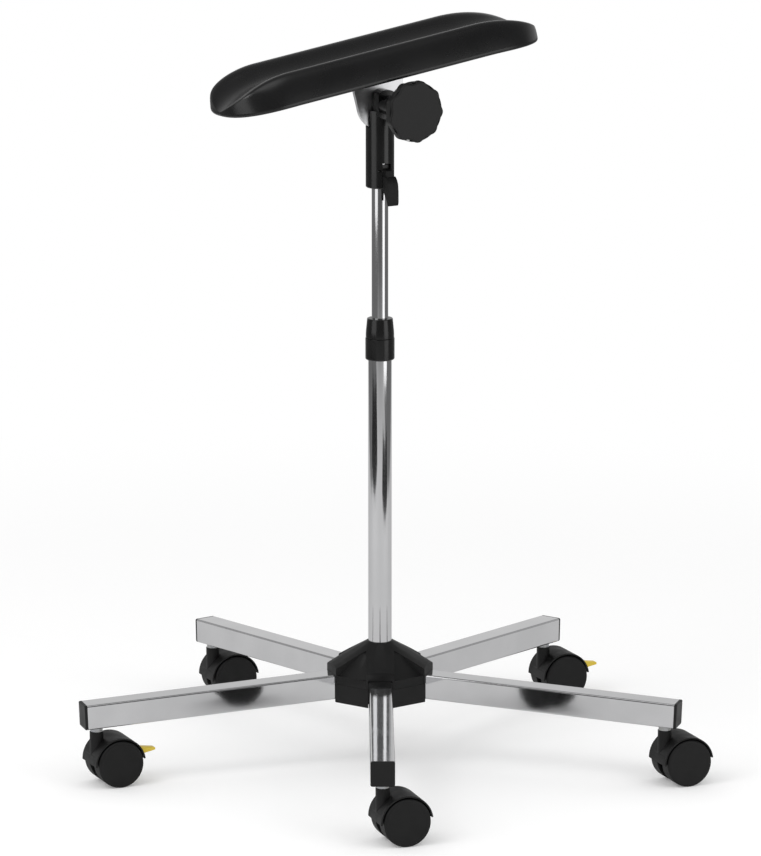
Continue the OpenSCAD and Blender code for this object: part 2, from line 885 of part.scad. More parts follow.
// Flanged nuts sunk in the board from above
module t_nuts() {
    color("gray")
        on_tilt()
            at_screws()
                difference() {
                    union() {
                        translate([0, 0, pad_rise])
                            cylinder(h = board_t, d = tnut_d, $fn = small_smooth);
                        translate([0, 0, pad_rise + board_t - tnut_flange_t])
                            cylinder(h = tnut_flange_t, d = tnut_flange_d,
                                $fn = small_smooth);
                    }
                    translate([0, 0, pad_rise - overrun])
                        cylinder(h = board_t + 2 * overrun, d = screw_d,
                            $fn = small_smooth);
                }
}

// How far along an end zone a place lies, from 0 at its start to 1 at the tip
function into_end(x, zone) = max(0, min(1, (abs(x) - (pad_l / 2 - zone)) / zone));
function into_fall(x) = into_end(x, x < 0 ? low_fall_l : high_fall_l);

// Half width of the pad's plan, and the heights of its crests and of its trough
function pad_half(x) =
    pad_w / 2 * pow(1 - pow(into_end(x, nose_l), nose_power), 1 / nose_power);
function pad_fall(x) = pow(1 - pow(into_fall(x), fall_power), 1 / fall_power);
function edge_z(x) = -edge_drop * pow(into_fall(x), 2);
function lip_z(x) = edge_z(x) + lip_h;
function crest_z(x) = lip_z(x) + (pad_h - lip_h) * pad_fall(x);
function floor_z(x) = lip_z(x) + (pad_h - trough_d - lip_h) * pad_fall(x);

// Height of the pad's top at a share of its half width; the trough is a parabola
// that turns over into the crest
function side_z(x, u) =
    crest_z(x) - (crest_z(x) - lip_z(x)) * pow((u - crest_share) / (1 - crest_share),
        side_power);
function trough_rise(v) =
    v < crest_start ? v * v / crest_start : 1 - pow(1 - v, 2) / (1 - crest_start);
function trough_z(x, v) = floor_z(x) + (crest_z(x) - floor_z(x)) * trough_rise(v);

// Place across the pad at a share of its half width; the crests run straight until
// they near the rounded end
function crest_y(x) =
    pow(pow(crest_gap / 2, -crest_bend) + pow(crest_limit * pad_half(x), -crest_bend),
        -1 / crest_bend);
function place_y(x, u) = u < crest_share
    ? crest_y(x) * u / crest_share
    : crest_y(x) + (pad_half(x) - crest_y(x)) * (u - crest_share) / (1 - crest_share);

// One half of a cross-section, from the lower edge over the crest to the middle
function half_section(x) = concat(
    [[1, edge_z(x)]],
    [for (u = side_shares) [u, side_z(x, u)]],
    [[crest_share, crest_z(x)]],
    [for (v = trough_shares) [v * crest_share, trough_z(x, v)]]);

function pad_ring(x) =
    let (half = half_section(x), n = len(half))
    concat(
        [for (k = [0:n - 1]) [x, place_y(x, half[k][0]), half[k][1]]],
        [for (k = [n - 2:-1:0]) [x, -place_y(x, half[k][0]), half[k][1]]]);

// Stations along the pad: even in the middle, and close together at the tips
function pad_stations() =
    let (low = low_fall_l - pad_l / 2, high = pad_l / 2 - high_fall_l)
    concat(
        [for (k = [end_steps:-1:1]) low - low_fall_l * sin(end_turn * k / end_steps)],
        [for (k = [0:mid_steps]) low + (high - low) * k / mid_steps],
        [for (k = [1:end_steps]) high + high_fall_l * sin(end_turn * k / end_steps)]);

// Solid through a row of rings of equal count, closed by a fan at each end
module loft(rings) {
    n = len(rings[0]);
    m = len(rings);
    points = concat(
        [for (ring = rings) each ring],
        [for (ring = [rings[0], rings[m - 1]]) ring[0] / 2 + ring[n - 1] / 2
            + [0, 0, lip_h / 2]]);
    faces = concat(
        [for (j = [0:m - 2], k = [0:n - 1])
            [j * n + k, j * n + (k + 1) % n, (j + 1) * n + k]],
        [for (j = [0:m - 2], k = [0:n - 1])
            [j * n + (k + 1) % n, (j + 1) * n + (k + 1) % n, (j + 1) * n + k]],
        [for (k = [0:n - 1]) [m * n, (k + 1) % n, k]],
        [for (k = [0:n - 1]) [m * n + 1, (m - 1) * n + k, (m - 1) * n + (k + 1) % n]]);
    polyhedron(points = points, faces = faces);
}

// Moulded foam pad: a trough with round crests and round, falling ends
module arm_pad() {
    color([0.09, 0.09, 0.09])
        on_tilt()
            difference() {
                translate([0, 0, pad_rise])
                    loft([for (x = pad_stations()) pad_ring(x)]);
                translate([-board_l / 2, -board_w / 2, pad_rise - overrun])
                    cube([board_l, board_w, board_t + overrun]);
            }
}

// Steel washer between the front boss and the knob
module knob_washer() {
    color("lightgray")
        translate([0, -boss_reach, pivot_z]) along_y()
            difference() {
                cylinder(h = knob_washer_t, d = knob_washer_d, $fn = smooth);
                translate([0, 0, -overrun])
                    cylinder(h = knob_washer_t + 2 * overrun, d = stud_d + 2 * run_fit,
                        $fn = small_smooth);
            }
}

// Lobed outline of the knob, with a hollow between each two lobes
function lobe_r(a) =
    knob_d / 2 - lobe_depth * (1 - cos(knob_lobes * (a + lobe_turn))) / 2;
module knob_outline(inset) {
    polygon([
        for (k = [1:knob_lobes * lobe_steps], a = 360 * k / (knob_lobes * lobe_steps))
            (lobe_r(a) - inset) * [cos(a), sin(a)]]);
}

// Clamp knob: lobed rim, tapering back and hub, moulded over its stud
module clamp_knob() {
    color([0.07, 0.07, 0.07])
        translate([0, 0, pivot_z]) along_y()
            difference() {
                union() {
                    translate([0, 0, knob_face_y - rim_t])
                        linear_extrude(knob_edge) knob_outline(knob_edge);
                    translate([0, 0, knob_face_y - rim_t + knob_edge])
                        linear_extrude(rim_t - 2 * knob_edge) knob_outline(0);
                    translate([0, 0, knob_face_y - knob_edge])
                        linear_extrude(knob_edge) knob_outline(knob_edge);
                    rotate_extrude($fn = smooth)
                        polygon([
                            [0, hub_end_y], [knob_hub_d / 2, hub_end_y],
                            [knob_hub_d / 2 + overrun, knob_face_y - 2 * rim_t],
                            [skirt_r, knob_face_y - rim_t],
                            [0, knob_face_y - rim_t]]);
                }
                translate([0, 0, hub_end_y - overrun])
                    cylinder(h = stud_in + overrun, d = stud_d, $fn = small_smooth);
            }
}

// Threaded stud of the knob, the pin of the tilt axis
module tilt_stud() {
    color("gray")
        translate([0, stud_end_y, pivot_z]) along_y()
            cylinder(h = stud_end_y + hub_end_y + stud_in, d = stud_d,
                $fn = small_smooth);
}

// Places a child at a caster's axle, with its profile's x along the trail
module at_axle(i) {
    on_stem(i) translate([caster_trail, 0, axle_z]) along_y() children();
}

// A round slab across the caster, given by its half width and radius
module across(half, r) {
    translate([0, 0, -half]) cylinder(h = 2 * half, r = r, $fn = smooth);
}

// Wedge that keeps only the hood's arc over the wheels
module hood_arc() {
    reach = 2 * hood_out_r;
    polygon([
        [0, 0],
        for (k = [0:hood_steps], a = hood_back + (hood_front - hood_back) * k / hood_steps)
            reach * [cos(a), sin(a)]]);
}

// Caster hood: fenders over both wheels, web between them, and neck for the stem
module caster_hood(i) {
    color([0.06, 0.06, 0.06])
        difference() {
            union() {
                at_axle(i)
                    intersection() {
                        across(hood_w / 2, hood_out_r);
                        translate([0, 0, -hood_w])
                            linear_extrude(2 * hood_w) hood_arc();
                    }
                at_axle(i) across(web_t / 2, web_r);
                on_stem(i) translate([0, 0, axle_z])
                    cylinder(h = neck_top - axle_z, d = neck_d, $fn = small_smooth);
            }
            at_axle(i)
                for (side = [-1, 1])
                    translate([0, 0, side * (web_t / 2 + hood_w) - hood_w])
                        cylinder(h = 2 * hood_w, r = hood_in_r, $fn = smooth);
            on_stem(i) translate([0, 0, collar_z - stem_in - joint_gap])
                cylinder(h = stem_in + overrun, d = stem_d + 2 * run_fit,
                    $fn = small_smooth);
            at_axle(i) across(web_t, axle_d / 2);
            if (i == 3 || i == 5)
                at_axle(i) {
                    translate([0, 0, -pedal_hub_w / 2 - pedal_gap])
                        linear_extrude(pedal_hub_w + 2 * pedal_gap) pedal_room();
                    translate([web_r, 0, -pedal_w / 2 - pedal_gap])
                        linear_extrude(pedal_w + 2 * pedal_gap)
                            translate([-web_r, 0])
                                intersection() {
                                    pedal_room();
                                    translate([web_r, -hood_out_r])
                                        square(2 * hood_out_r);
                                }
                    translate([pedal_pin_x, pedal_pin_z, 0])
                        across(web_t / 2 + overrun, pedal_pin_r + run_fit);
                }
        }
}

// Side view of the room that a brake pedal sweeps in the hood
module pedal_room() {
    translate([pedal_pin_x, pedal_pin_z]) {
        circle(r = pedal_hub_r + pedal_gap, $fn = small_smooth);
        polygon([
            [0, pedal_root_t / 2 + pedal_gap],
            [hood_out_r, pedal_root_t / 2 + pedal_gap],
            [hood_out_r, -hood_out_r * tan(pedal_travel) - pedal_gap
                - pedal_root_t / 2 / cos(pedal_travel)],
            [0, -pedal_hub_r - pedal_gap]]);
    }
}

// Brake pedal: a hub on its own trunnions and a wedge-shaped tread
module brake_pedal(i) {
    color("gold")
        at_axle(i) {
            translate([0, 0, -pedal_hub_w / 2])
                linear_extrude(pedal_hub_w)
                    translate([pedal_pin_x, pedal_pin_z]) {
                        circle(r = pedal_hub_r, $fn = small_smooth);
                        translate([0, -pedal_root_t / 2])
                            square([hood_in_r - pedal_pin_x, pedal_root_t]);
                    }
            translate([0, 0, -pedal_w / 2])
                linear_extrude(pedal_w)
                    polygon([
                        [tread_x, pedal_pin_z - pedal_root_t / 2],
                        [hood_out_r, pedal_pin_z - pedal_root_t / 2],
                        [hood_out_r + pedal_reach, pedal_tip_z - pedal_tip_t / 2],
                        [hood_out_r + pedal_reach, pedal_tip_z + pedal_tip_t / 2],
                        [hood_out_r, pedal_pin_z + pedal_root_t / 2],
                        [tread_x, pedal_pin_z + pedal_root_t / 2]]);
            translate([pedal_pin_x, pedal_pin_z, 0]) across(web_t / 2, pedal_pin_r);
        }
}

// Steel axle through the caster's web
module caster_axle(i) {
    color("gainsboro") at_axle(i) across(wheel_out_y - wheel_shell - axle_end, axle_d / 2);
}

// Moulded wheel: tread, closed outer disc and hub, open towards the web
module wheel(i, side) {
    color([0.08, 0.08, 0.08])
        at_axle(i)
            mirror([0, 0, side < 0 ? 1 : 0])
                rotate_extrude($fn = smooth)
                    polygon([
                        [axle_d / 2 + run_fit, wheel_in_y],
                        [wheel_hub_r, wheel_in_y],
                        [wheel_hub_r, wheel_out_y - wheel_shell],
                        [wheel_d / 2 - wheel_shell, wheel_out_y - wheel_shell],
                        [wheel_d / 2 - wheel_shell, wheel_in_y],
                        [wheel_d / 2 - tread_round / 2, wheel_in_y],
                        [wheel_d / 2, wheel_in_y + tread_round / 2],
                        [wheel_d / 2, wheel_out_y - tread_round],
                        [wheel_d / 2 - tread_round / 2, wheel_out_y - tread_round / 3],
                        [wheel_d / 2 - tread_round, wheel_out_y],
                        [0, wheel_out_y],
                        [0, wheel_out_y - wheel_shell + axle_end / 2],
                        [axle_d / 2 + run_fit, wheel_out_y - wheel_shell + axle_end / 2]]);
}

leg(1);  // leg_1
leg(2);  // leg_2
leg(3);  // leg_3
leg(4);  // leg_4
leg(5);  // leg_5
leg_end_caps();
stem_sockets();
caster_stems();
hub_core();
hub_body();
hub_cover();
column_bolt();
foot_plug();
lower_tube();
clutch_body();
clutch_collet();
clutch_nut();
upper_tube();
guide_bush();
head_sleeve();
clamp_shoe();
lever_pin();
captive_nut();
cam_lever();
tilt_plate();
pad_flange();
friction_washers();
pad_screws();
pad_board();
t_nuts();
arm_pad();
knob_washer();
clamp_knob();
tilt_stud();
caster_hood(1);  // caster_hood_1
caster_hood(2);  // caster_hood_2
caster_hood(3);  // caster_hood_3
caster_hood(4);  // caster_hood_4
caster_hood(5);  // caster_hood_5
caster_axle(1);  // caster_axle_1
caster_axle(2);  // caster_axle_2
caster_axle(3);  // caster_axle_3
caster_axle(4);  // caster_axle_4
caster_axle(5);  // caster_axle_5
wheel(1, -1);  // left_wheel_1
wheel(2, -1);  // left_wheel_2
wheel(3, -1);  // left_wheel_3
wheel(4, -1);  // left_wheel_4
wheel(5, -1);  // left_wheel_5
wheel(1, 1);  // right_wheel_1
wheel(2, 1);  // right_wheel_2
wheel(3, 1);  // right_wheel_3
wheel(4, 1);  // right_wheel_4
wheel(5, 1);  // right_wheel_5
brake_pedal(3);  // brake_pedal_3
brake_pedal(5);  // brake_pedal_5
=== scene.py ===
import json
from math import atan2, cos, pi, radians, sin, tan

import bmesh
import bpy
from mathutils import Matrix, Vector


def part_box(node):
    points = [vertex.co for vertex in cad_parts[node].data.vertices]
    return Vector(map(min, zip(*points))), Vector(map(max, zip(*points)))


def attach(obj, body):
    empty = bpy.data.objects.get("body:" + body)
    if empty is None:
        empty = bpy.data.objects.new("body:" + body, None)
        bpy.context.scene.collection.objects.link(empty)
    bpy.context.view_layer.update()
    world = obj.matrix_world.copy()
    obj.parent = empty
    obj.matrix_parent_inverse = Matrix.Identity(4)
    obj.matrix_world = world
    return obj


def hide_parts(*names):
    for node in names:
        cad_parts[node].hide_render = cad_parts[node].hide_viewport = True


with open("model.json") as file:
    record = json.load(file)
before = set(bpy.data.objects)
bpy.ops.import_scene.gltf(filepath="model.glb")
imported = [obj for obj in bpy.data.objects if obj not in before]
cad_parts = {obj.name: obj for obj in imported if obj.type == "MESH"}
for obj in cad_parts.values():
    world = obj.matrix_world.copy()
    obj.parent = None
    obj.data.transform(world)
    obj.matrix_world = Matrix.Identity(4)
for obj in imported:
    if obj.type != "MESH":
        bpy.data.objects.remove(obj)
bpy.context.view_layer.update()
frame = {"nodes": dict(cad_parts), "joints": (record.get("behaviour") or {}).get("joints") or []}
joints = {joint["name"]: joint for joint in frame["joints"]}
MM = 0.001


# Camera. It stands five and a half metres off with a long lens, turned thirty degrees
# from the pad's side, and looks down on the base by twelve degrees.
camera_place = Vector((-2.7085, -4.6924, 1.5260))
camera_turn = radians(-30)
camera_dip = radians(12.11)
camera_lens = 220.1
camera_sensor = 36

lens_data = bpy.data.cameras.new("studio_camera")
lens_data.lens = camera_lens
lens_data.sensor_width = camera_sensor
camera = bpy.data.objects.new("studio_camera", lens_data)
camera.location = camera_place
camera.rotation_euler = (pi / 2 - camera_dip, 0, camera_turn)
bpy.context.scene.collection.objects.link(camera)
bpy.context.scene.camera = camera
bpy.context.scene.view_settings.view_transform = "Standard"


# Studio. White paper runs from a lit backdrop forward under the stand. A softbox stands on
# either side, a smaller lamp hangs on the left above the pad, and chrome shows them and the dim
# room. In reflections the paper is painted shade, darker than seen directly and darker still
# ahead and at the sides, and under each softbox lies a black sheet of painted shade that only
# reflections see. Camera rays see plain white all round, and the soft shadow.
floor_radius = 12.0
floor_steps = 96
white_paper = 0.86
# Painted shade in reflections: greys and ranges for the paper as glossy rays see it, darker than
# seen directly.
reflected_near_shade = 0.66
reflected_far_shade = 0.14
reflected_side_shade = 0.20
shade_side = (1.24, 1.42)
shade_fall = (1.2, 3.3)
shown_white = (0.75, 1.7)
camera_fill = 0.16
room_light = 0.85
front_wall = 0.15
wall_turn = (0.15, 0.55)
backdrop_low = 0.66
backdrop_high = 0.22
backdrop_fade = (0.22, 0.72)
ceiling = 1.3
ceiling_lean = (-3, 3)
ceiling_edge = (0.45, 0.5)
# Painted shade: black sheets under the softboxes, seen only in reflections.
shade_sheet_black = 0.03
shade_sheet_height = 0.002
shade_sheets = (("right_shade_sheet", 49, 1.38, 1.25, 0.46),
        ("left_shade_sheet", -55, 1.64, 1.55, 0.70))
lamps = (("right_softbox", 53, 1.6, 0.785, 0.95, 1.4, 1.3, 0.785),
         ("left_softbox", -51, 1.6, 0.90, 1.2, 1.2, 1.1, 0.90),
         ("left_lamp", -52, 1.5, 1.95, 0.7, 0.7, 4.0, 0.7))


def from_camera(degrees, distance, height):
    """A place round the column, turned to the right from the camera's side."""
    angle = radians(degrees) + camera_turn - pi / 2
    return Vector((cos(angle) * distance, sin(angle) * distance, height))


def softbox(name, degrees, distance, height, wide, high, radiance, aim_height):
    """A rectangular area lamp that faces the column at a height."""
    lamp = bpy.data.lights.new(name, "AREA")
    lamp.shape = "RECTANGLE"
    lamp.size = wide
    lamp.size_y = high
    lamp.energy = radiance * pi * wide * high
    box = bpy.data.objects.new(name, lamp)
    box.location = from_camera(degrees, distance, height)
    box.rotation_euler = (box.location - Vector((0, 0, aim_height))).to_track_quat(
        "Z", "Y").to_euler()
    bpy.context.scene.collection.objects.link(box)


def share_of(nodes, links, value, low, high):
    """A node that runs smoothly from 0 to 1 while a value goes from low to high."""
    ramp = nodes.new("ShaderNodeMapRange")
    ramp.interpolation_type = "SMOOTHSTEP"
    ramp.inputs["From Min"].default_value = low
    ramp.inputs["From Max"].default_value = high
    links.new(value, ramp.inputs["Value"])
    return ramp.outputs["Result"]


def grey_mix(nodes, links, share, first, second):
    """A node that mixes two greys, each a number or another node's output."""
    mix = nodes.new("ShaderNodeMix")
    links.new(share, mix.inputs[0])
    for socket, value in ((mix.inputs[2], first), (mix.inputs[3], second)):
        if isinstance(value, float):
            socket.default_value = value
        else:
            links.new(value, socket)
    return mix.outputs[0]


def maths(nodes, links, operation, first, second=None):
    """A node that works out one value from one or two others."""
    sum_node = nodes.new("ShaderNodeMath")
    sum_node.operation = operation
    links.new(first, sum_node.inputs[0])
    if second is not None:
        links.new(second, sum_node.inputs[1])
    return sum_node.outputs[0]


def camera_frame(nodes, links, source):
    """The X (right), Y (away from the camera) and Z of a place or direction."""
    place = nodes.new("ShaderNodeTexCoord")
    facing_camera = nodes.new("ShaderNodeMapping")
    facing_camera.inputs["Rotation"].default_value = (0, 0, -camera_turn)
    links.new(place.outputs[source], facing_camera.inputs["Vector"])
    split = nodes.new("ShaderNodeSeparateXYZ")
    links.new(facing_camera.outputs["Vector"], split.inputs[0])
    return split.outputs


def stage_piece(name, bm, material):
    """A floor or a black sheet of painted shade, which isn't part of the stand."""
    mesh = bpy.data.meshes.new(name)
    bm.to_mesh(mesh)
    bm.free()
    mesh.materials.append(material)
    piece = bpy.data.objects.new(name, mesh)
    bpy.context.scene.collection.objects.link(piece)
    return piece


paper = bpy.data.materials.new("white_paper")
paper.use_nodes = True
nodes, links = paper.node_tree.nodes, paper.node_tree.links
nodes.remove(nodes["Principled BSDF"])
path = nodes.new("ShaderNodeLightPath").outputs
seen = maths(nodes, links, "MAXIMUM", path["Is Camera Ray"], path["Is Transmission Ray"])
right, away, _ = camera_frame(nodes, links, "Object")
place = nodes.new("ShaderNodeTexCoord")
distance = nodes.new("ShaderNodeVectorMath")
distance.operation = "LENGTH"
links.new(place.outputs["Object"], distance.inputs[0])
far = share_of(nodes, links, distance.outputs["Value"], *shown_white)
# Painted shade: the paper that glossy rays see grows darker ahead and at the sides.
forward = share_of(nodes, links, away, -shade_fall[0], -shade_fall[1])
aside = share_of(nodes, links, maths(nodes, links, "ABSOLUTE", right), *shade_side)
mirrored = grey_mix(nodes, links, aside,
                    grey_mix(nodes, links, forward, reflected_near_shade, reflected_far_shade), reflected_side_shade)
shown = grey_mix(nodes, links, maths(nodes, links, "MULTIPLY", seen, far), white_paper, 0.0)
diffuse = nodes.new("ShaderNodeBsdfDiffuse")
links.new(grey_mix(nodes, links, path["Is Glossy Ray"], shown, mirrored),
          diffuse.inputs["Color"])
glow = nodes.new("ShaderNodeEmission")
links.new(grey_mix(nodes, links, seen, 0.0, grey_mix(nodes, links, far, camera_fill, 1.0)),
          glow.inputs["Strength"])
total = nodes.new("ShaderNodeAddShader")
links.new(diffuse.outputs[0], total.inputs[0])
links.new(glow.outputs[0], total.inputs[1])
links.new(total.outputs[0], nodes["Material Output"].inputs["Surface"])

bm = bmesh.new()
bmesh.ops.create_circle(bm, cap_ends=True, segments=floor_steps, radius=floor_radius)
stage_piece("studio_floor", bm, paper)

# Painted shade: a black sheet that only glossy rays see, standing for the shade under each
# softbox.
painted_shade_sheet = bpy.data.materials.new("painted_shade_sheet")
painted_shade_sheet.diffuse_color = (shade_sheet_black, shade_sheet_black, shade_sheet_black, 1)
painted_shade_sheet.use_nodes = True
shade_sheet_inputs = painted_shade_sheet.node_tree.nodes["Principled BSDF"].inputs
shade_sheet_inputs["Base Color"].default_value = (shade_sheet_black, shade_sheet_black, shade_sheet_black, 1)
shade_sheet_inputs["Roughness"].default_value = 1.0
shade_sheet_inputs["Specular IOR Level"].default_value = 0.0
for name, degrees, distance, wide, deep in shade_sheets:
    bm = bmesh.new()
    bmesh.ops.create_grid(bm, x_segments=1, y_segments=1, size=0.5)
    bmesh.ops.scale(bm, verts=bm.verts, vec=(wide, deep, 1))
    bmesh.ops.rotate(bm, verts=bm.verts, cent=(0, 0, 0),
                     matrix=Matrix.Rotation(radians(degrees) + camera_turn, 3, "Z"))
    bmesh.ops.translate(bm, verts=bm.verts, vec=from_camera(degrees, distance, shade_sheet_height))
    shade_sheet = stage_piece(name, bm, painted_shade_sheet)
    shade_sheet.visible_camera = shade_sheet.visible_diffuse = shade_sheet.visible_shadow = False
    shade_sheet.visible_transmission = False

room = bpy.data.worlds.new("studio_room")
room.use_nodes = True
bpy.context.scene.world = room
nodes, links = room.node_tree.nodes, room.node_tree.links
path = nodes.new("ShaderNodeLightPath").outputs
seen = maths(nodes, links, "MAXIMUM", path["Is Camera Ray"], path["Is Transmission Ray"])
_, away, up = camera_frame(nodes, links, "Generated")
backdrop = grey_mix(nodes, links, share_of(nodes, links, up, *backdrop_fade),
                    backdrop_low, backdrop_high)
walls = grey_mix(nodes, links, share_of(nodes, links, away, *wall_turn),
                 front_wall, backdrop)
overhead = maths(nodes, links, "SUBTRACT", up, share_of(nodes, links, away, *ceiling_lean))
mirrored = grey_mix(nodes, links, share_of(nodes, links, overhead, *ceiling_edge),
                    walls, ceiling)
lit = grey_mix(nodes, links, path["Is Glossy Ray"], room_light, mirrored)
links.new(grey_mix(nodes, links, seen, lit, 1.0), nodes["Background"].inputs["Strength"])
nodes["Background"].inputs["Color"].default_value = (1, 1, 1, 1)

for lamp in lamps:
    softbox(*lamp)


# Legs. Five steel box tubes with round corners, a little higher than wide, are coped, welded
# to the hub core and chromed. They slope down to their tips, and their chrome shows the
# paper, the casters and the hub beside them.
leg_count = 5
leg_heading = radians(-119.5)
leg_droop = radians(2.2)
leg_width = 25 * MM
leg_height = 26.5 * MM
leg_corner = 2 * MM
leg_wall = 1.5 * MM
leg_end = 330 * MM
leg_tip_top = 90 * MM
cap_face = 3 * MM
core_radius = 22 * MM
corner_steps = 6
weld_gap = 1.5 * MM
sharp_edge = radians(32)
merge_gap = 0.002 * MM
edge_range = (0.53, 0.62)
patch_range = (0.3, 0.7)
patch_detail = 4
grain_detail = 2

leg_axis_z = leg_tip_top - leg_height / 2 / cos(leg_droop) + leg_end * tan(leg_droop)
along_x = Matrix.Rotation(pi / 2, 4, "Z") @ Matrix.Rotation(pi / 2, 4, "X")


def leg_frame(number):
    """Carries a piece made along +Z to one leg's centre line, with +Y upwards."""
    heading = leg_heading + 2 * pi * (number - 1) / leg_count
    return (Matrix.Translation((0, 0, leg_axis_z)) @ Matrix.Rotation(heading, 4, "Z")
            @ Matrix.Rotation(leg_droop, 4, "Y") @ along_x)


def finish_piece(bm, name, body, slot, material, *nodes):
    """Makes a piece of the mesh, its flat faces flat and its rounded edges smooth, and
    sets it in the frame."""
    bmesh.ops.remove_doubles(bm, verts=bm.verts, dist=merge_gap)
    bmesh.ops.recalc_face_normals(bm, faces=bm.faces)
    mesh = bpy.data.meshes.new(name)
    bm.to_mesh(mesh)
    bm.free()
    mesh.shade_smooth()
    mesh.set_sharp_from_angle(angle=sharp_edge)
    mesh.materials.append(material)
    piece = bpy.data.objects.new(name, mesh)
    bpy.context.scene.collection.objects.link(piece)
    shading = piece.modifiers.new("face_weighted", "WEIGHTED_NORMAL")
    shading.keep_sharp = True
    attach(piece, body)
    if nodes:
        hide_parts(*nodes)
    return piece


def tube_section(bm, inset, corner):
    """The leg tube's outline, inset on all sides, as a face with round corners."""
    made = bmesh.ops.create_grid(bm, x_segments=1, y_segments=1, size=0.5)
    bmesh.ops.scale(bm, verts=made["verts"],
                    vec=(leg_width - 2 * inset, leg_height - 2 * inset, 1))
    bmesh.ops.bevel(bm, geom=made["verts"], offset=corner, affect="VERTICES",
                    segments=corner_steps, profile=0.5, material=-1)
    return bm.faces[:]


def pull(bm, faces, length):
    """Extrudes faces along +Z and returns what was moved."""
    made = bmesh.ops.extrude_face_region(bm, geom=faces)["geom"]
    moved = [part for part in made if isinstance(part, bmesh.types.BMVert)]
    bmesh.ops.translate(bm, verts=moved, vec=(0, 0, length))
    return made


def surface_finish(name, dark, light, rough, mottle, grain, depth, metallic=0.0, shine=0.5,
                   worn=None):
    """A surface of mottled colour and gloss, with a fine grain and a worn tone on edges."""
    material = bpy.data.materials.new(name)
    material.use_nodes = True
    nodes, links = material.node_tree.nodes, material.node_tree.links
    shader = nodes["Principled BSDF"]
    shader.inputs["Metallic"].default_value = metallic
    shader.inputs["Specular IOR Level"].default_value = shine
    place = nodes.new("ShaderNodeTexCoord")
    patches = nodes.new("ShaderNodeTexNoise")
    patches.inputs["Scale"].default_value = 1 / mottle
    patches.inputs["Detail"].default_value = patch_detail
    links.new(place.outputs["Object"], patches.inputs["Vector"])
    spread = share_of(nodes, links, patches.outputs["Fac"], *patch_range)
    colour = nodes.new("ShaderNodeMix")
    colour.data_type = "RGBA"
    colour.inputs[6].default_value = (*dark, 1)
    colour.inputs[7].default_value = (*light, 1)
    links.new(spread, colour.inputs[0])
    tone = colour.outputs[2]
    if worn:
        edges = share_of(nodes, links, nodes.new("ShaderNodeNewGeometry").outputs[
            "Pointiness"], *edge_range)
        rubbed = nodes.new("ShaderNodeMix")
        rubbed.data_type = "RGBA"
        links.new(maths(nodes, links, "MULTIPLY", edges, spread), rubbed.inputs[0])
        links.new(tone, rubbed.inputs[6])
        rubbed.inputs[7].default_value = (*worn, 1)
        tone = rubbed.outputs[2]
    links.new(tone, shader.inputs["Base Color"])
    gloss = grey_mix(nodes, links, spread, rough[0], rough[1])
    links.new(gloss, shader.inputs["Roughness"])
    pits = nodes.new("ShaderNodeTexNoise")
    pits.inputs["Scale"].default_value = 1 / grain
    pits.inputs["Detail"].default_value = grain_detail
    links.new(place.outputs["Object"], pits.inputs["Vector"])
    relief = nodes.new("ShaderNodeBump")
    relief.inputs["Strength"].default_value = 1.0
    relief.inputs["Distance"].default_value = depth
    links.new(pits.outputs["Fac"], relief.inputs["Height"])
    links.new(relief.outputs["Normal"], shader.inputs["Normal"])
    return material


leg_chrome = surface_finish(
    "leg_chrome", (0.69, 0.69, 0.70), (0.75, 0.75, 0.76), rough=(0.05, 0.09),
    mottle=60 * MM, grain=9 * MM, depth=0.01 * MM, metallic=1.0)

for number in range(1, leg_count + 1):
    bm = bmesh.new()
    face = tube_section(bm, 0, leg_corner)
    bmesh.ops.inset_region(bm, faces=face, thickness=leg_wall, use_boundary=True,
                           use_even_offset=True)
    inside = max(bm.faces, key=lambda part: part.calc_area())
    bmesh.ops.delete(bm, geom=[inside], context="FACES_ONLY")
    start = core_radius + weld_gap
    bmesh.ops.translate(bm, verts=bm.verts, vec=(0, 0, start))
    pull(bm, bm.faces[:], leg_end / cos(leg_droop) - cap_face - start)
    bmesh.ops.transform(bm, matrix=leg_frame(number), verts=bm.verts)
    finish_piece(bm, f"chromed_leg_{number}", "base", "leg_chrome", leg_chrome,
                 f"leg_{number}")


# End caps. A moulded black cap is knocked into each tube's end: a square face with soft
# edges, as wide as the tube, and a plug with a small lead behind it.
cap_plug = 5 * MM
cap_edge = 0.9 * MM
plug_gap = 0.15 * MM
edge_steps = 3


def rims(bm, height, tolerance=0.01 * MM):
    """The edges of a mesh that lie at one height."""
    return [edge for edge in bm.edges
            if all(abs(corner.co.z - height) < tolerance for corner in edge.verts)]


def soften(bm, edges, width, steps=edge_steps):
    """Rounds edges."""
    bmesh.ops.bevel(bm, geom=edges, offset=width, offset_type="OFFSET", affect="EDGES",
                    segments=steps, profile=0.5, material=-1, clamp_overlap=True)


cap_plastic = surface_finish(
    "cap_plastic", (0.006, 0.006, 0.006), (0.009, 0.009, 0.009), rough=(0.42, 0.52),
    mottle=20 * MM, grain=0.5 * MM, depth=0.02 * MM, shine=0.3, worn=(0.02, 0.02, 0.02))

bm = bmesh.new()
for number in range(1, leg_count + 1):
    for inset, corner, start, length, edge in (
            (0, leg_corner, leg_end / cos(leg_droop) - cap_face, cap_face, cap_edge),
            (leg_wall + plug_gap, leg_corner / 2,
             leg_end / cos(leg_droop) - cap_face - cap_plug, cap_plug, 0)):
        part = bmesh.new()
        pull(part, tube_section(part, inset, corner), length)
        if edge:
            soften(part, rims(part, length), edge)
        bmesh.ops.translate(part, verts=part.verts, vec=(0, 0, start))
        bmesh.ops.transform(part, matrix=leg_frame(number), verts=part.verts)
        scratch = bpy.data.meshes.new("cap_part")
        part.to_mesh(scratch)
        part.free()
        bm.from_mesh(scratch)
        bpy.data.meshes.remove(scratch)
finish_piece(bm, "square_end_caps", "base", "hub_plastic", cap_plastic, "leg_end_caps")


# Hub. A tray and a cover of black nylon close over the welded core: the tray's five flat
# walls stand between the legs, and the cover's five arms run over them to a nose.
tray_edge = 0.8 * MM
cover_edge = 1.1 * MM
flat_faces = radians(1)
moulded_edge = radians(28)


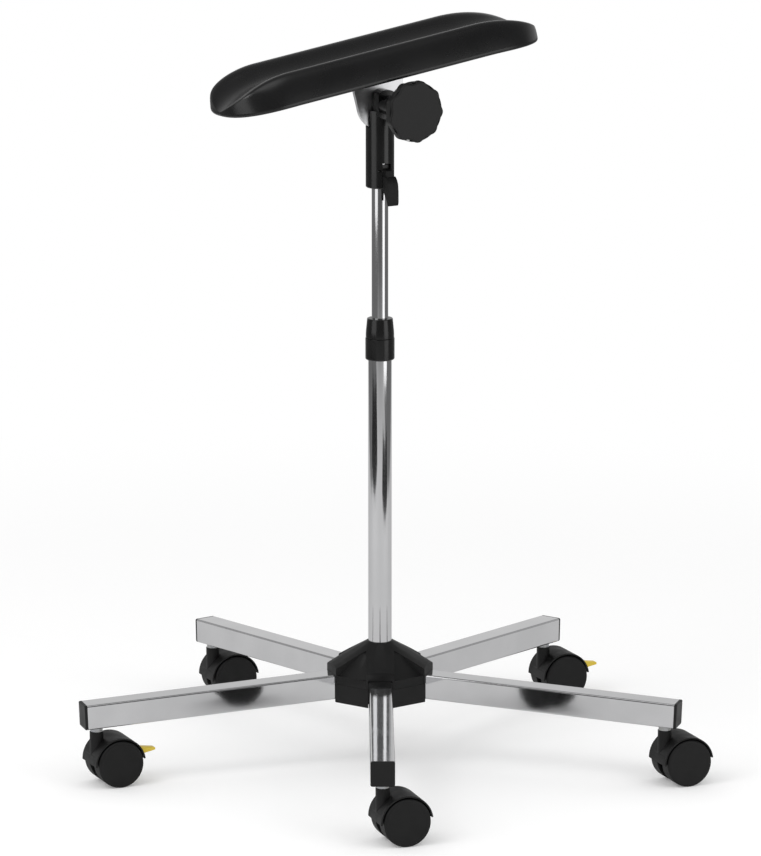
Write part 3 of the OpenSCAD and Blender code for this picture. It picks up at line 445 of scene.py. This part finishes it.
def rounded_copy(node, width, name, body, slot, material, steps=edge_steps):
    """A copy of a solid, its triangles merged into faces and its edges rounded."""
    bm = bmesh.new()
    bm.from_mesh(frame["nodes"][node].data)
    bmesh.ops.remove_doubles(bm, verts=bm.verts, dist=merge_gap)
    bmesh.ops.dissolve_limit(bm, angle_limit=flat_faces, verts=bm.verts, edges=bm.edges)
    bmesh.ops.dissolve_degenerate(bm, edges=bm.edges, dist=merge_gap)
    edges = [edge for edge in bm.edges
             if len(edge.link_faces) == 2 and edge.calc_face_angle() > moulded_edge]
    soften(bm, edges, width, steps)
    return finish_piece(bm, name, body, slot, material, node)


hub_nylon = surface_finish(
    "hub_nylon", (0.006, 0.006, 0.006), (0.009, 0.009, 0.009), rough=(0.45, 0.55),
    mottle=30 * MM, grain=0.6 * MM, depth=0.03 * MM, shine=0.28, worn=(0.02, 0.02, 0.02))
rounded_copy("hub_body", tray_edge, "hub_tray", "base", "hub_plastic", hub_nylon)
rounded_copy("hub_cover", cover_edge, "hub_top_cover", "base", "hub_plastic", hub_nylon)


# Casters. Each is a black nylon hood with a web and a neck, turning on a zinc-plated stem,
# and two wheels with a closed outer disc on a steel axle. Two have a yellow brake pedal.
wheel_radius = 25 * MM
wheel_wide = 16.8 * MM
wheel_inside = 5.7 * MM
tread_edge = 2.2 * MM
inner_edge = 0.8 * MM
disc_edge = 0.6 * MM
disc_step = 2.6 * MM
disc_sink = 0.35 * MM
disc_thick = 2 * MM
wheel_skin = 3 * MM
wheel_bore = 3.05 * MM
wheel_hub = 7 * MM
round_steps = 96
rounding_steps = 4
hood_edge = 0.5 * MM
pedal_edge = 0.5 * MM
braked = (3, 5)


def turned(bm, outline, steps=round_steps):
    """Spins an outline of (radius, height, rounding) corners about Z into a solid."""
    corners = [bm.verts.new((across, 0, height)) for across, height, _ in outline]
    bm.faces.new(corners)
    for corner, (_, _, rounding) in zip(corners, outline):
        if rounding:
            bmesh.ops.bevel(bm, geom=[corner], offset=rounding, affect="VERTICES",
                            segments=rounding_steps, profile=0.5, material=-1)
    face = bm.faces[:][-1]
    rim = list(face.edges)
    bmesh.ops.delete(bm, geom=[face], context="FACES_ONLY")
    bmesh.ops.spin(bm, geom=rim + list({corner for edge in rim for corner in edge.verts}),
                   cent=(0, 0, 0), axis=(0, 0, 1), angle=2 * pi, steps=steps,
                   use_merge=True)


def facing(axis):
    """Turns +Z to an axis."""
    return Vector(axis).to_track_quat("Z", "Y").to_matrix().to_4x4()


hood_nylon = surface_finish(
    "hood_nylon", (0.005, 0.005, 0.005), (0.008, 0.008, 0.008), rough=(0.42, 0.54),
    mottle=14 * MM, grain=0.6 * MM, depth=0.03 * MM, shine=0.28, worn=(0.018, 0.018, 0.018))
wheel_nylon = surface_finish(
    "wheel_nylon", (0.006, 0.006, 0.006), (0.009, 0.009, 0.009), rough=(0.46, 0.58),
    mottle=12 * MM, grain=0.5 * MM, depth=0.03 * MM, shine=0.28, worn=(0.02, 0.02, 0.02))
pedal_yellow = surface_finish(
    "pedal_yellow", (0.72, 0.52, 0.04), (0.80, 0.60, 0.06), rough=(0.35, 0.45),
    mottle=8 * MM, grain=0.5 * MM, depth=0.02 * MM)

for number in range(1, leg_count + 1):
    rounded_copy(f"caster_hood_{number}", hood_edge, f"hood_{number}",
                 f"swivel_{number}", "hood_plastic", hood_nylon)
    for side in ("left", "right"):
        roll = joints[f"{side}_wheel_{number}_roll"]
        node = f"{side}_wheel_{number}"
        low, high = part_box(node)
        hub = Vector(roll["pos_m"])
        axis = Vector(roll["axis"])
        outwards = axis if ((low + high) / 2 - hub).dot(axis) > 0 else -axis
        bm = bmesh.new()
        face_y = wheel_inside + wheel_wide
        turned(bm, [
            (wheel_bore, wheel_inside, 0), (wheel_hub, wheel_inside, 0),
            (wheel_hub, face_y - wheel_skin, 0),
            (wheel_radius - wheel_skin, face_y - wheel_skin, 0),
            (wheel_radius - wheel_skin, wheel_inside, 0),
            (wheel_radius, wheel_inside, inner_edge),
            (wheel_radius, face_y, tread_edge),
            (wheel_radius - tread_edge - disc_step, face_y, 0),
            (wheel_radius - tread_edge - disc_step - disc_edge, face_y - disc_sink, 0),
            (0, face_y - disc_sink, 0),
            (0, face_y - disc_thick, 0),
            (wheel_bore, face_y - disc_thick, 0)])
        bmesh.ops.transform(bm, matrix=Matrix.Translation(hub) @ facing(outwards),
                            verts=bm.verts)
        finish_piece(bm, f"{side}_disc_wheel_{number}", f"{side}_roller_{number}",
                     "wheel_plastic", wheel_nylon, node)
for number in braked:
    rounded_copy(f"brake_pedal_{number}", pedal_edge, f"yellow_pedal_{number}",
                 f"brake_{number}", "pedal_plastic", pedal_yellow)


# Column. The chromed lower tube stands in the hub core, and the thinner upper tube slides
# in it. A black clutch with a tapered nut grips the upper tube at the lower one's end.
column_steps = 144
lower_radius = 12.5 * MM
upper_radius = 8.75 * MM
tube_wall = 1.5 * MM
tube_lead = 0.4 * MM
clutch_radius = 15.5 * MM
clutch_foot = 438 * MM
clutch_top = 461 * MM
clutch_round = 1.6 * MM
clutch_lead = 0.4 * MM
spigot_radius = 12.2 * MM
spigot_top = 473 * MM
tube_top = 457 * MM
nut_foot = 461.3 * MM
nut_top = 482.3 * MM
nut_radius = 15.05 * MM
nut_neck = 13.5 * MM
running_gap = 0.05 * MM
nut_lip = 1.5 * MM
nut_shoulder = 3 * MM
nut_round = 0.8 * MM
nut_gap = 0.15 * MM

tube_chrome = surface_finish(
    "tube_chrome", (0.66, 0.66, 0.67), (0.70, 0.70, 0.71), rough=(0.05, 0.08),
    mottle=70 * MM, grain=12 * MM, depth=0.01 * MM, metallic=1.0)
clutch_acetal = surface_finish(
    "clutch_acetal", (0.004, 0.004, 0.004), (0.006, 0.006, 0.006), rough=(0.17, 0.23),
    mottle=25 * MM, grain=0.6 * MM, depth=0.003 * MM, worn=(0.012, 0.012, 0.012))

for name, node, body, radius in (
        ("lower_column", "lower_tube", "base", lower_radius),
        ("upper_column", "upper_tube", "mast", upper_radius)):
    low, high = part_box(node)
    bm = bmesh.new()
    turned(bm, [(radius - tube_wall, low.z, 0), (radius, low.z, tube_lead),
                (radius, high.z, tube_lead), (radius - tube_wall, high.z, 0)],
           column_steps)
    finish_piece(bm, name, body, "column_chrome", tube_chrome, node)

bm = bmesh.new()
turned(bm, [(lower_radius, clutch_foot, 0), (clutch_radius, clutch_foot, clutch_round),
            (clutch_radius, clutch_top, clutch_lead), (spigot_radius, clutch_top, 0),
            (spigot_radius, spigot_top, 0), (upper_radius + running_gap, spigot_top, 0),
            (upper_radius + running_gap, tube_top, 0), (lower_radius, tube_top, 0)],
       column_steps)
finish_piece(bm, "clutch_sleeve", "base", "clutch_plastic", clutch_acetal, "clutch_body")

bm = bmesh.new()
turned(bm, [(spigot_radius + running_gap, nut_foot, 0), (nut_radius, nut_foot, clutch_lead),
            (nut_radius, nut_foot + (nut_top - nut_foot) / 4, nut_shoulder),
            (nut_neck, nut_top, nut_round), (upper_radius + nut_gap, nut_top, 0),
            (upper_radius + nut_gap, nut_top - nut_lip, 0),
            (spigot_radius + running_gap, nut_top - nut_lip, 0)], column_steps)
finish_piece(bm, "tapered_nut", "nut", "clutch_plastic", clutch_acetal, "clutch_nut")


# Head. A black moulded sleeve turns on the upper tube. Its two cheeks hold the tilt plate
# between them, a boss on each carries the stud, and a cam lever in its side locks it.
sleeve_edge = 0.6 * MM
lever_edge = 1.2 * MM

head_nylon = surface_finish(
    "head_nylon", (0.004, 0.004, 0.004), (0.006, 0.006, 0.006), rough=(0.17, 0.23),
    mottle=25 * MM, grain=0.6 * MM, depth=0.003 * MM, worn=(0.012, 0.012, 0.012))
rounded_copy("head_sleeve", sleeve_edge, "head_moulding", "head", "head_plastic", head_nylon)
lever_nylon = surface_finish(
    "lever_nylon", (0.006, 0.006, 0.006), (0.009, 0.009, 0.009), rough=(0.44, 0.52),
    mottle=15 * MM, grain=0.6 * MM, depth=0.02 * MM, shine=0.22, worn=(0.016, 0.016, 0.016))
rounded_copy("cam_lever", lever_edge, "lock_lever", "lever", "head_plastic", lever_nylon)


# Tilt bracket. A rounded steel plate welded under a flange swings between the cheeks, and
# four screws hold the flange to the pad. Both are chromed.
plate_edge = 0.4 * MM
flange_edge = 0.6 * MM

bracket_chrome = surface_finish(
    "bracket_chrome", (0.66, 0.66, 0.67), (0.74, 0.74, 0.75), rough=(0.26, 0.34),
    mottle=25 * MM, grain=5 * MM, depth=0.02 * MM, metallic=1.0)
rounded_copy("tilt_plate", plate_edge, "swing_plate", "pad", "bracket_chrome", bracket_chrome)
rounded_copy("pad_flange", flange_edge, "pad_plate", "pad", "bracket_chrome", bracket_chrome)


# Clamp knob. A black lobed knob is moulded over the end of the tilt stud: a rim with nine
# soft lobes and a plain face, and a hub that tapers to a steel washer on the front boss.
knob_radius = 32.5 * MM
knob_lobes = 9
lobe_depth = 3 * MM
lobe_turn = radians(4)
lobe_steps = 16
rim_thick = 11 * MM
rim_edge = 2.2 * MM
rim_steps = 5
knob_face = 76 * MM
hub_end = 36 * MM
knob_hub = 11.5 * MM
hub_lead = 0.6 * MM
waist_radius = 12.5 * MM
waist_round = 4 * MM
skirt_radius = 26.5 * MM
pivot_z = joints["pad_tilt"]["pos_m"][2]
stud_radius = 4 * MM

knob_nylon = surface_finish(
    "knob_nylon", (0.009, 0.009, 0.009), (0.013, 0.013, 0.013), rough=(0.42, 0.52),
    mottle=20 * MM, grain=0.6 * MM, depth=0.03 * MM, shine=0.3, worn=(0.025, 0.025, 0.025))

bm = bmesh.new()
bmesh.ops.create_circle(bm, cap_ends=True, segments=knob_lobes * lobe_steps,
                        radius=knob_radius)
for corner in bm.verts:
    angle = atan2(corner.co.y, corner.co.x)
    hollow = lobe_depth * (1 - cos(knob_lobes * (angle + lobe_turn))) / 2
    corner.co *= 1 - hollow / knob_radius
bmesh.ops.translate(bm, verts=bm.verts, vec=(0, 0, knob_face - rim_thick))
pull(bm, bm.faces[:], rim_thick)
soften(bm, rims(bm, knob_face) + rims(bm, knob_face - rim_thick), rim_edge, rim_steps)
turned(bm, [(stud_radius, hub_end, 0), (knob_hub, hub_end, hub_lead),
            (waist_radius, knob_face - 2 * rim_thick, waist_round),
            (skirt_radius, knob_face - rim_thick, 0),
            (skirt_radius, knob_face - rim_thick / 2, 0),
            (stud_radius, knob_face - rim_thick / 2, 0)])
upright = Matrix.Translation((0, 0, pivot_z)) @ Matrix.Rotation(pi / 2, 4, "X")
bmesh.ops.transform(bm, matrix=upright, verts=bm.verts)
finish_piece(bm, "lobed_knob", "knob", "knob_plastic", knob_nylon, "clamp_knob")


# Arm pad. One moulded piece of foam with its own tough black skin, cast round a board: a
# long trough between two crests, with flanks that fall to a thin lip and round, falling
# ends. The foam is stiff, so it keeps the mould's shape.
pad_length = 376 * MM
pad_width = 116 * MM
pad_height = 32 * MM
trough_deep = 12 * MM
crest_gap = 75 * MM
lip_height = 4 * MM
edge_drop = 4 * MM
low_fall = 68 * MM
high_fall = 85 * MM
nose_length = 61 * MM
pad_tilt = radians(8.9)
pad_rise = 33.5 * MM
board_half = Vector((125 * MM, 32 * MM))
board_thick = 9 * MM
end_turn = radians(88.5)
crest_share = crest_gap / pad_width
crest_start = 0.72
crest_limit = 0.9
crest_bend = 8
side_power, fall_power, nose_power = 1.95, 1.93, 2.3
along_steps = 120
across_steps = 72
lip_rings = ((0, 2.4 * MM), (0.2 * MM, 1.3 * MM), (0.8 * MM, 0.4 * MM), (1.8 * MM, 0))
end_share = 0.55


def into_end(x, zone):
    """How far a place lies into the last stretch before either end, from 0 to 1."""
    return min(1, max(0, (abs(x) - (pad_length / 2 - zone)) / zone))


def into_fall(x):
    """The same for the stretch in which the top falls, which is longer at the high end."""
    return into_end(x, low_fall if x < 0 else high_fall)


def pad_half(x):
    """Half the pad's width."""
    return pad_width / 2 * (1 - into_end(x, nose_length) ** nose_power) ** (1 / nose_power)


def edge_z(x):
    """Height of the pad's underside, which drops towards both ends."""
    return -edge_drop * into_fall(x) ** 2


def place_y(x, share):
    """Place across the pad. The crests run straight until they near the rounded end."""
    half = pad_half(x)
    crest = ((2 / crest_gap) ** crest_bend + (crest_limit * half) ** -crest_bend) ** (
        -1 / crest_bend)
    if share < crest_share:
        return crest * share / crest_share
    return crest + (half - crest) * (share - crest_share) / (1 - crest_share)


def top_z(x, share):
    """Height of the pad's top at a share of its half width."""
    fall = (1 - into_fall(x) ** fall_power) ** (1 / fall_power)
    lip = edge_z(x) + lip_height
    crest = lip + (pad_height - lip_height) * fall
    floor = lip + (pad_height - trough_deep - lip_height) * fall
    if share > crest_share:
        down = ((share - crest_share) / (1 - crest_share)) ** side_power
        return crest - (crest - lip) * down
    inside = share / crest_share
    if inside < crest_start:
        return floor + (crest - floor) * inside ** 2 / crest_start
    return crest - (crest - floor) * (1 - inside) ** 2 / (1 - crest_start)


def station(share):
    """Place along the pad for a share from -1 to 1, closer together at the ends."""
    fall = low_fall if share < 0 else high_fall
    even = pad_length / 2 - fall
    if abs(share) < 1 - end_share:
        return even * share / (1 - end_share)
    turn = end_turn * (abs(share) - (1 - end_share)) / end_share
    return (even + fall * sin(turn)) * (1 if share > 0 else -1)


bm = bmesh.new()
made = bmesh.ops.create_grid(bm, x_segments=along_steps, y_segments=across_steps, size=1)
for corner in made["verts"]:
    share = abs(sin(corner.co.y * pi / 2))
    x = station(corner.co.x)
    side = 1 if corner.co.y > 0 else -1
    corner.co = (x, side * place_y(x, share), top_z(x, share))
rim = [edge for edge in bm.edges if edge.is_boundary]
made = bmesh.ops.duplicate(bm, geom=bm.verts[:] + bm.edges[:] + bm.faces[:])["geom"]
under = [part for part in made if isinstance(part, bmesh.types.BMFace)]
bmesh.ops.reverse_faces(bm, faces=under)
last_inset = lip_rings[-1][0]
for corner in {corner for face in under for corner in face.verts}:
    x, y = corner.co.xy
    corner.co = (x * (1 - 2 * last_inset / pad_length), y * (1 - 2 * last_inset / pad_width),
                 edge_z(x))
old_inset, old_height = 0, lip_height
for inset, height in lip_rings:
    made = bmesh.ops.extrude_edge_only(bm, edges=rim)["geom"]
    rim = [part for part in made if isinstance(part, bmesh.types.BMEdge) and part.is_boundary]
    for corner in {corner for edge in rim for corner in edge.verts}:
        corner.co.x *= (pad_length - 2 * inset) / (pad_length - 2 * old_inset)
        corner.co.y *= (pad_width - 2 * inset) / (pad_width - 2 * old_inset)
        corner.co.z -= old_height - height
    old_inset, old_height = inset, height
bmesh.ops.remove_doubles(bm, verts=bm.verts, dist=merge_gap)
for axis, half in ((0, board_half.x), (1, board_half.y)):
    for side in (-1, 1):
        across = Vector((side, 0, 0)) if axis == 0 else Vector((0, side, 0))
        flat = [part for part in bm.faces if max(c.co.z for c in part.verts) < merge_gap]
        bmesh.ops.bisect_plane(
            bm, geom=flat + list({edge for part in flat for edge in part.edges})
            + list({corner for part in flat for corner in part.verts}),
            dist=merge_gap, plane_co=across * half, plane_no=across)
board_bed = [part for part in bm.faces
             if all(abs(c.co.x) < board_half.x + merge_gap
                    and abs(c.co.y) < board_half.y + merge_gap
                    and c.co.z < merge_gap for c in part.verts)]
pull(bm, board_bed, board_thick)
bmesh.ops.delete(bm, geom=[part for part in board_bed if part.is_valid], context="FACES")
on_tilt = (Matrix.Translation((0, 0, pivot_z)) @ Matrix.Rotation(-pad_tilt, 4, "Y")
           @ Matrix.Translation((0, 0, pad_rise)))
bmesh.ops.transform(bm, matrix=on_tilt, verts=bm.verts)

pad_skin = surface_finish(
    "pad_skin", (0.0038, 0.0038, 0.0041), (0.0052, 0.0052, 0.0055), rough=(0.25, 0.31),
    mottle=50 * MM, grain=0.9 * MM, depth=0.05 * MM, shine=0.55)
pad = finish_piece(bm, "moulded_arm_pad", "pad", "pad_skin", pad_skin, "arm_pad")


# Small fittings that keep their solid's shape: the stems, the core and its bolt, the bush
# and collet, the pins, screws, washers and nuts, and the board in the pad.
zinc_steel = surface_finish(
    "zinc_steel", (0.42, 0.43, 0.45), (0.52, 0.52, 0.50), rough=(0.25, 0.38),
    mottle=8 * MM, grain=0.4 * MM, depth=0.01 * MM, metallic=1.0)
core_steel = surface_finish(
    "core_steel", (0.05, 0.05, 0.052), (0.09, 0.088, 0.085), rough=(0.45, 0.6),
    mottle=12 * MM, grain=0.5 * MM, depth=0.03 * MM, metallic=0.6)
shoe_nylon = surface_finish(
    "shoe_nylon", (0.006, 0.006, 0.006), (0.009, 0.009, 0.009), rough=(0.3, 0.4),
    mottle=6 * MM, grain=0.4 * MM, depth=0.01 * MM)
washer_fibre = surface_finish(
    "washer_fibre", (0.008, 0.008, 0.008), (0.014, 0.014, 0.013), rough=(0.6, 0.75),
    mottle=5 * MM, grain=0.3 * MM, depth=0.03 * MM)
natural_nylon = surface_finish(
    "natural_nylon", (0.62, 0.60, 0.54), (0.70, 0.68, 0.62), rough=(0.4, 0.5),
    mottle=15 * MM, grain=0.6 * MM, depth=0.02 * MM)
stained_board = surface_finish(
    "stained_board", (0.020, 0.018, 0.016), (0.035, 0.031, 0.027), rough=(0.6, 0.75),
    mottle=6 * MM, grain=0.8 * MM, depth=0.08 * MM)
for material, fittings in (
        (zinc_steel, ("caster_stems", "stem_sockets", "column_bolt", "foot_plug",
                      "captive_nut", "knob_washer", "tilt_stud", "pad_screws", "t_nuts")),
        (core_steel, ("hub_core", "lever_pin")),
        (shoe_nylon, ("clamp_shoe",)),
        (washer_fibre, ("friction_washers",)),
        (natural_nylon, ("guide_bush", "clutch_collet")),
        (stained_board, ("pad_board",)),
        (zinc_steel, [f"caster_axle_{n}" for n in range(1, leg_count + 1)])):
    for fitting in fittings:
        mesh = frame["nodes"][fitting].data
        mesh.materials.clear()
        mesh.materials.append(material)
